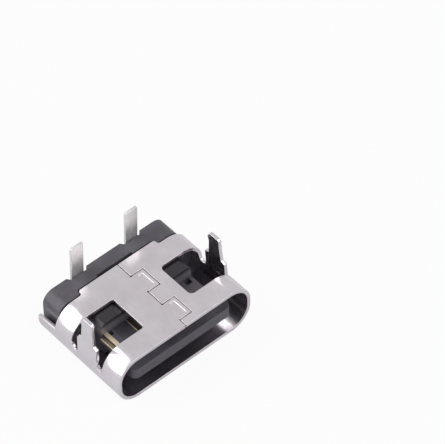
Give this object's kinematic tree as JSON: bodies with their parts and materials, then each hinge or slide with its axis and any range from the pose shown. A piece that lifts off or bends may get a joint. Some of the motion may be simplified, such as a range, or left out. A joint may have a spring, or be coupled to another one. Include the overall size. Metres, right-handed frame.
{
  "type": "usb-c socket",
  "caption": "Power-only USB-C socket with a stamped shell, moulded tongue, solder legs and two board-lock legs, lying on its cover.",
  "frame": {"origin": "on the outer face of the plain cover side, halfway between the mouth's rim and the cover's rear edge, on the middle plane", "axes": "+X across the mouth, +Y from the mouth to the solder legs, +Z from the cover side to the board side, along the legs"},
  "size_m": [0.0088, 0.0064, 0.005],
  "materials": {
    "plated_steel": "nickel plated, satin",
    "moulding": "moulded, fine satin",
    "contact_metal": "tin plated copper alloy"
  },
  "bodies": {
    "root": {"shell": "plated_steel", "housing": "moulding", "power_contact": "contact_metal", "ground_contact": "contact_metal"}
  },
  "joints": []
}
